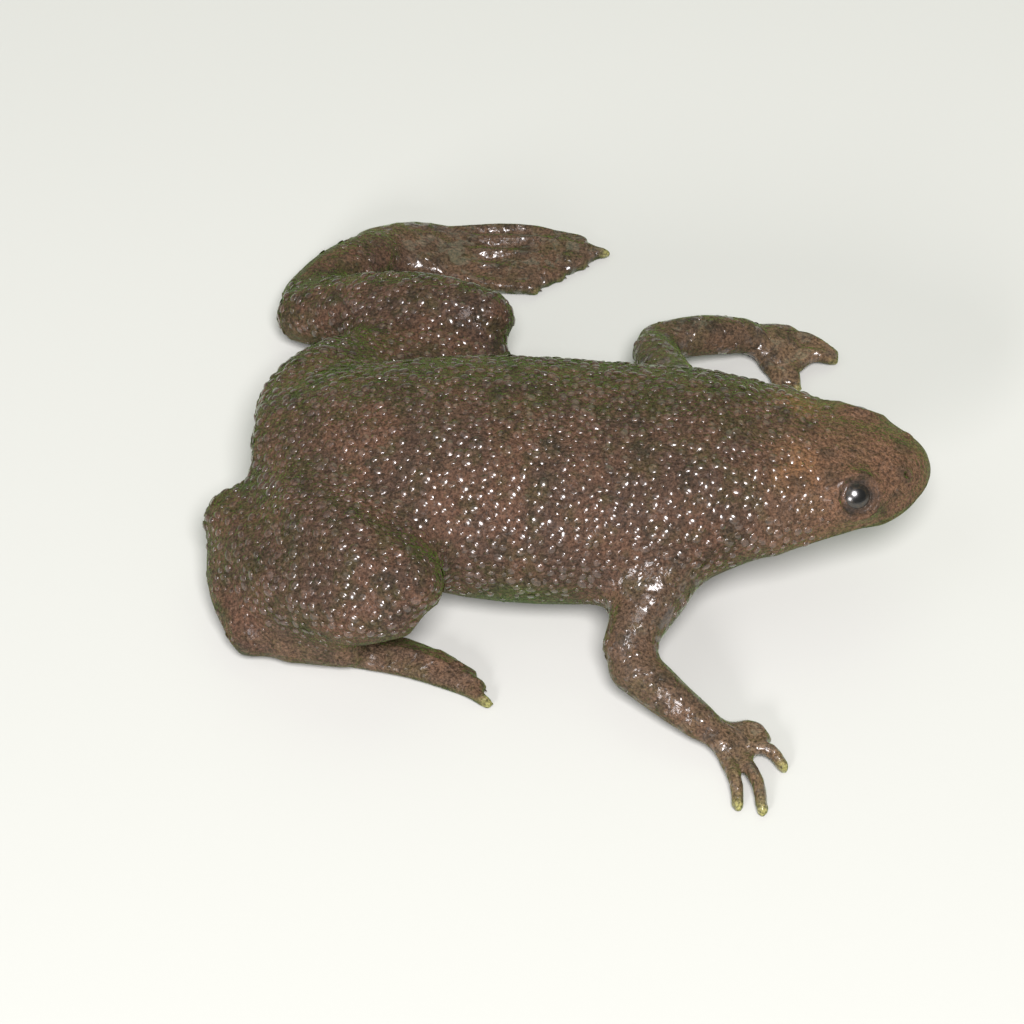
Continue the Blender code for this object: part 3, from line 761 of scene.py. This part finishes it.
def wart_dome():
    """One wart: a dome whose foot slopes out under the skin, with its top marked for the colours."""
    points = [(0, 0, WART_HEIGHT)]
    tops = [1.0]
    for radius, height, top in WART_RINGS:
        points += [(x, y, height * WART_HEIGHT) for x, y in wart_ring() * radius * WART_RADIUS]
        tops += [top] * WART_SIDES
    faces = [(0, 1 + side, 1 + (side + 1) % WART_SIDES) for side in range(WART_SIDES)]
    for ring in range(len(WART_RINGS) - 1):
        inner, outer = 1 + ring * WART_SIDES, 1 + (ring + 1) * WART_SIDES
        for side in range(WART_SIDES):
            after = (side + 1) % WART_SIDES
            faces.append((inner + side, outer + side, outer + after, inner + after))
    mesh = bpy.data.meshes.new("wart")
    mesh.from_pydata([tuple(c * MM for c in point) for point in points], [], faces)
    attribute = mesh.attributes.new("wart", "FLOAT", "POINT")
    attribute.data.foreach_set("value", tops)
    shade_smooth(mesh)
    return stand("wart", mesh)


def wart_tree():
    """Scatters domes over a surface, closest where its attribute warty is highest."""
    tree = bpy.data.node_groups.new("warts", "GeometryNodeTree")
    sockets = {"Geometry": "Geometry", "Dome": "Object", "Spacing": "Float", "Density": "Float"}
    sockets |= {"Smallest": "Float", "Largest": "Float", "Seed": "Int"}
    for name, kind in sockets.items():
        tree.interface.new_socket(name, in_out="INPUT", socket_type=f"NodeSocket{kind}")
    tree.interface.new_socket("Geometry", in_out="OUTPUT", socket_type="NodeSocketGeometry")

    def node(kind, inputs=(), **settings):
        made = tree.nodes.new(kind)
        for name, value in settings.items():
            setattr(made, name, value)
        for name, value in dict(inputs).items():
            socket = next(s for s in made.inputs if s.name == name and s.enabled)
            if isinstance(value, bpy.types.NodeSocket):
                tree.links.new(value, socket)
            else:
                socket.default_value = value
        return made

    def out(made, name):
        return next(s for s in made.outputs if s.name == name and s.enabled)

    given = node("NodeGroupInput").outputs
    warty = out(node("GeometryNodeInputNamedAttribute", {"Name": "warty"}, data_type="FLOAT"), "Attribute")
    density = {"Mesh": given["Geometry"], "Distance Min": given["Spacing"], "Density Max": given["Density"]}
    density |= {"Density Factor": warty, "Seed": given["Seed"]}
    scattered = node("GeometryNodeDistributePointsOnFaces", density, distribute_method="POISSON")
    leans = {"Min": (-WART_LEAN, -WART_LEAN, 0), "Max": (WART_LEAN, WART_LEAN, math.tau)}
    turn = node("FunctionNodeRandomValue", leans, data_type="FLOAT_VECTOR")
    turn = node("FunctionNodeEulerToRotation", {"Euler": out(turn, "Value")})
    facing = {"Rotation": out(scattered, "Rotation"), "Rotate By": out(turn, "Rotation")}
    facing = node("FunctionNodeRotateRotation", facing, rotation_space="LOCAL")
    size = {"Min": given["Smallest"], "Max": given["Largest"], "Seed": given["Seed"]}
    size = node("FunctionNodeRandomValue", size, data_type="FLOAT")
    squash = {"Min": WART_SQUASH[0], "Max": WART_SQUASH[1]}
    squash = node("FunctionNodeRandomValue", squash, data_type="FLOAT_VECTOR")
    fuller = node("ShaderNodeMapRange", {"Value": warty, "To Min": SPARSE_WART_SIZE, "To Max": 1.0})
    scale = {"Vector": out(squash, "Value"), "Scale": out(size, "Value")}
    scale = node("ShaderNodeVectorMath", scale, operation="SCALE")
    scale = {"Vector": out(scale, "Vector"), "Scale": out(fuller, "Result")}
    scale = node("ShaderNodeVectorMath", scale, operation="SCALE")
    dome = node("GeometryNodeObjectInfo", {"Object": given["Dome"]})
    placed = {"Points": out(scattered, "Points"), "Instance": out(dome, "Geometry")}
    placed |= {"Rotation": out(facing, "Rotation"), "Scale": out(scale, "Vector")}
    placed = node("GeometryNodeInstanceOnPoints", placed)
    real = node("GeometryNodeRealizeInstances", {"Geometry": out(placed, "Instances")})
    dressed = {"Geometry": out(real, "Geometry"), "Material": skin_material}
    dressed = node("GeometryNodeSetMaterial", dressed)
    tree.links.new(out(dressed, "Geometry"), node("NodeGroupOutput").inputs["Geometry"])
    return tree


def part_of_skin(words):
    """A copy of the skin's faces that lie nearest to the pieces of flesh with one of these words."""
    inside = belongs(which, [name for name in FLESH if any(word in patch_of(name) for word in words)])
    shape = bmesh.new()
    shape.from_mesh(skin_mesh)
    spare = [face for face in shape.faces if not inside[face.verts[0].index]]
    bmesh.ops.delete(shape, geom=spare, context="FACES")
    return mesh_of(shape, "ground")


def unrolled(points):
    """Places on a flat layout of the skin: each piece of flesh rolled off its long axis, in a cell."""
    nearest_piece = nearest_pieces(points)[0]
    columns = math.ceil(math.sqrt(len(FLESH)))
    flat = np.zeros((len(points), 2))
    for index, name in enumerate(FLESH):
        mine = nearest_piece == index
        if not mine.any():
            continue
        body = read_points(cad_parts[name].data)
        middle = body.mean(axis=0)
        axes = np.linalg.eigh(np.cov((body - middle).T))[1]
        local = (points[mine] - middle) @ axes
        extent = np.abs((body - middle) @ axes[:, 2]).max() * BAKE_ROOM
        cell = np.array(divmod(index, columns), float)[::-1]
        along = 0.5 + 0.5 * np.clip(local[:, 2] / extent, -1, 1)
        around = 0.5 + np.arctan2(local[:, 1], local[:, 0]) / math.tau
        inner = BAKE_MARGIN + (1 - 2 * BAKE_MARGIN) * np.column_stack((along, around))
        flat[mine] = (cell + inner) / columns
    return flat


def add_bake_map(mesh, points_each):
    """Gives each wart a small patch of the bake map at its root's place on the unrolled skin."""
    points = read_points(mesh).reshape(-1, points_each, 3)
    root = unrolled(points[:, 0])
    rings = [wart_ring() * radius for radius, _, _ in WART_RINGS]
    offsets = np.vstack([(0, 0)] + rings) * BAKE_PATCH / 2
    places = (root[:, None] + offsets[None]).reshape(-1, 2)
    corners = np.empty(len(mesh.loops), int)
    mesh.loops.foreach_get("vertex_index", corners)
    layer = mesh.uv_layers.new(name="OFBake")
    layer.data.foreach_set("uv", places[corners].astype(np.float32).ravel())


dome = wart_dome()
tree = wart_tree()
identifiers = {item.name: item.identifier for item in tree.interface.items_tree if item.in_out == "INPUT"}
for seed, (name, words) in enumerate(WART_GROUPS.items()):
    ground = stand("ground", part_of_skin(words))
    modifier = ground.modifiers.new("warts", "NODES")
    modifier.node_group = tree
    modifier[identifiers["Dome"]] = dome
    modifier[identifiers["Spacing"]] = WART_SPACING * MM
    modifier[identifiers["Density"]] = WART_DENSITY / MM**2
    modifier[identifiers["Smallest"]] = WART_SIZES[0]
    modifier[identifiers["Largest"]] = WART_SIZES[1]
    modifier[identifiers["Seed"]] = seed
    mesh = plain_mesh(ground)
    add_bake_map(mesh, len(dome.data.vertices))
    warts = stand(name, mesh)
    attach(warts, "root")
bpy.data.objects.remove(dome)

# Eyes: small dark glossy balls set deep in the head, each with a thin bronze ring round a black pupil.
# Each one fills its socket under the lids.
PUPIL = 0.36
PUPIL_EDGE = 0.03
IRIS = 0.60
IRIS_EDGE = (0.05, 0.08)
PUPIL_BLACK = (0.002, 0.002, 0.002)
IRIS_DARK = (0.006, 0.005, 0.004)
IRIS_BRONZE = (0.034, 0.024, 0.012)
EYE_GREY = (0.008, 0.008, 0.009)
IRIS_FLECK_SCALE = 9.0
IRIS_FLECK_RANGE = (0.40, 0.7)


def eye_finish(side):
    finish = Finish(f"{side}_eye")
    eye = eyes[side]
    place = finish.millimetres()
    front = tuple(eye["centre"] + eye["look"] * eye["radius"])
    away = finish.vectors("DISTANCE", place, front)
    flecks = finish.noise(place, IRIS_FLECK_SCALE, detail=4, roughness=0.7)
    iris = finish.mix(finish.slope(flecks, *IRIS_FLECK_RANGE), IRIS_DARK, IRIS_BRONZE)
    past_pupil = finish.slope(away, PUPIL - PUPIL_EDGE, PUPIL + PUPIL_EDGE)
    past_iris = finish.slope(away, IRIS - IRIS_EDGE[0], IRIS + IRIS_EDGE[1])
    finish.dress({
        "Base Color": finish.mix(past_iris, finish.mix(past_pupil, PUPIL_BLACK, iris), EYE_GREY),
        "Roughness": 0.30, "Specular IOR Level": 0.3,
        "Coat Weight": 1.0, "Coat Roughness": 0.19, "Coat IOR": 1.6,
    })
    return finish.material


for side, eye in eyes.items():
    shape = bmesh.new()
    bmesh.ops.create_uvsphere(shape, u_segments=48, v_segments=32, radius=eye["radius"] * MM)
    turn = Vector(eye["look"]).to_track_quat("Z", "Y").to_matrix().to_4x4()
    placed = Matrix.Translation(Vector(eye["centre"]) * MM) @ turn
    bmesh.ops.transform(shape, matrix=placed, verts=shape.verts)
    mesh = mesh_of(shape, f"eyeball_{side}")
    shade_smooth(mesh)
    mesh.materials.append(eye_finish(side))
    eyeball = stand(f"eyeball_{side}", mesh)
    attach(eyeball, "root")
    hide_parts(f"eye_{side}")

# Claws: small dark horn caps on the three inner toes of each foot, curved down to a blunt point. Each
# one's root sits inside the end of its toe.
CLAW_GIRTH = 0.62
CLAW_ROOT = 0.10
CLAW_STEPS = 9
CLAW_SIDES = 12
CLAW_LENGTH = 0.98
CLAW_ARCH = 0.06
CLAW_TIP = 0.96
CLAW_BLUNTNESS = 0.85
HORN_DARK = (0.020, 0.014, 0.009)
HORN_PALE = (0.075, 0.052, 0.030)
HORN_GRAIN_SCALE = 7.0


def claw_finish():
    finish = Finish("dark_horn")
    grain = finish.noise(finish.millimetres(), HORN_GRAIN_SCALE)
    finish.dress({
        "Base Color": finish.mix(grain, HORN_DARK, HORN_PALE), "Roughness": 0.32,
        "Coat Weight": 0.4, "Coat Roughness": 0.15,
    })
    return finish.material


def claw_mesh(node):
    """A finer horn between the node's broad end and its tip."""
    base, tip, half_width = claw_ends(node)
    base = base - unit(tip - base) * CLAW_ROOT
    run = tip - base
    girth = half_width * CLAW_GIRTH
    side = unit(np.cross(run, (0, 0, 1)))
    up = unit(np.cross(side, run))
    angles = [math.tau * k / CLAW_SIDES for k in range(CLAW_SIDES)]
    shape = bmesh.new()
    rings = []
    for step in range(CLAW_STEPS + 1):
        share = step / CLAW_STEPS
        centre = base + run * share * CLAW_LENGTH + up * CLAW_ARCH * math.sin(math.pi * share)
        radius = girth * math.cos(share * math.pi / 2 * CLAW_TIP) ** CLAW_BLUNTNESS
        ring = [centre + (side * math.cos(a) + up * math.sin(a)) * radius for a in angles]
        rings.append([shape.verts.new(Vector(point) * MM) for point in ring])
    for first, second in zip(rings, rings[1:]):
        for k in range(CLAW_SIDES):
            after = (k + 1) % CLAW_SIDES
            shape.faces.new((first[k], first[after], second[after], second[k]))
    shape.faces.new(rings[0][::-1])
    shape.faces.new(rings[-1])
    bmesh.ops.recalc_face_normals(shape, faces=shape.faces)
    mesh = mesh_of(shape, f"horn_{node}")
    shade_smooth(mesh)
    return mesh


claw_material = claw_finish()
for node in CLAW_NODES:
    mesh = claw_mesh(node)
    mesh.materials.append(claw_material)
    claw = stand(f"horn_{node}", mesh)
    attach(claw, "root")
    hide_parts(node)

# Floor, lights and camera: a pale plain floor under soft light, seen from the photo's side and height.
# Azimuths run from the frog's right side towards its head, in degrees.
CAMERA_AZIMUTH = 4.0
CAMERA_ELEVATION = 48.0
CAMERA_DISTANCE = 260.0
CAMERA_TARGET = (-3.95, 0.91, 1.06)
NEAREST_SEEN = 10.0
VIEW_WIDTH = 49.95
SENSOR_WIDTH = 36.0
LAMP_TARGET = (0, 0, 4)
ROOM_COLOUR = (0.84, 0.86, 0.82)
ROOM_LIGHT = 0.22
FLOOR_SIZE = 3000.0
FLOOR_COLOUR = (0.50, 0.51, 0.48)


def around(azimuth, elevation):
    """The way from the frog to a camera or lamp."""
    turn, rise = math.radians(azimuth), math.radians(elevation)
    return Vector((math.sin(turn) * math.cos(rise), -math.cos(turn) * math.cos(rise), math.sin(rise)))


def look_from(target, way, distance):
    """A placement at this distance from a target, looking back at it."""
    turn = way.to_track_quat("Z", "Y").to_matrix().to_4x4()
    return Matrix.Translation((Vector(target) + way * distance) * MM) @ turn


camera_data = bpy.data.cameras.new("camera")
camera_data.sensor_width = SENSOR_WIDTH
camera_data.lens = SENSOR_WIDTH * CAMERA_DISTANCE / VIEW_WIDTH
camera_data.clip_start = NEAREST_SEEN * MM
camera = stand("camera", camera_data)
camera.matrix_world = look_from(CAMERA_TARGET, around(CAMERA_AZIMUTH, CAMERA_ELEVATION), CAMERA_DISTANCE)
bpy.context.scene.camera = camera


def lamp(name, azimuth, elevation, distance, size, power, colour):
    """A round soft lamp that faces the frog."""
    data = bpy.data.lights.new(name, "AREA")
    data.shape = "DISK"
    data.size = size * MM
    data.energy = power
    data.color = colour
    stand(name, data).matrix_world = look_from(LAMP_TARGET, around(azimuth, elevation), distance)


lamp("key", azimuth=9, elevation=54, distance=420, size=150, power=2.8, colour=(1.0, 0.96, 0.98))
lamp("low", azimuth=-18, elevation=22, distance=420, size=95, power=1.0, colour=(1.0, 0.96, 0.98))
lamp("fill", azimuth=-70, elevation=50, distance=600, size=500, power=0.4, colour=(0.94, 0.97, 1.0))
lamp("back", azimuth=175, elevation=50, distance=600, size=500, power=0.5, colour=(0.80, 1.0, 0.66))

world = bpy.data.worlds.new("studio")
bpy.context.scene.world = world
world.use_nodes = True
world.node_tree.nodes["Background"].inputs["Color"].default_value = (*ROOM_COLOUR, 1)
world.node_tree.nodes["Background"].inputs["Strength"].default_value = ROOM_LIGHT
bpy.context.scene.view_settings.view_transform = "Standard"

floor_mesh = bpy.data.meshes.new("floor")
half = FLOOR_SIZE / 2 * MM
floor_corners = [(-half, -half, 0), (half, -half, 0), (half, half, 0), (-half, half, 0)]
floor_mesh.from_pydata(floor_corners, [], [(0, 1, 2, 3)])
floor = stand("floor", floor_mesh)
floor_finish = Finish("pale_floor")
floor_finish.dress({"Base Color": FLOOR_COLOUR, "Roughness": 0.9})
floor_mesh.materials.append(floor_finish.material)
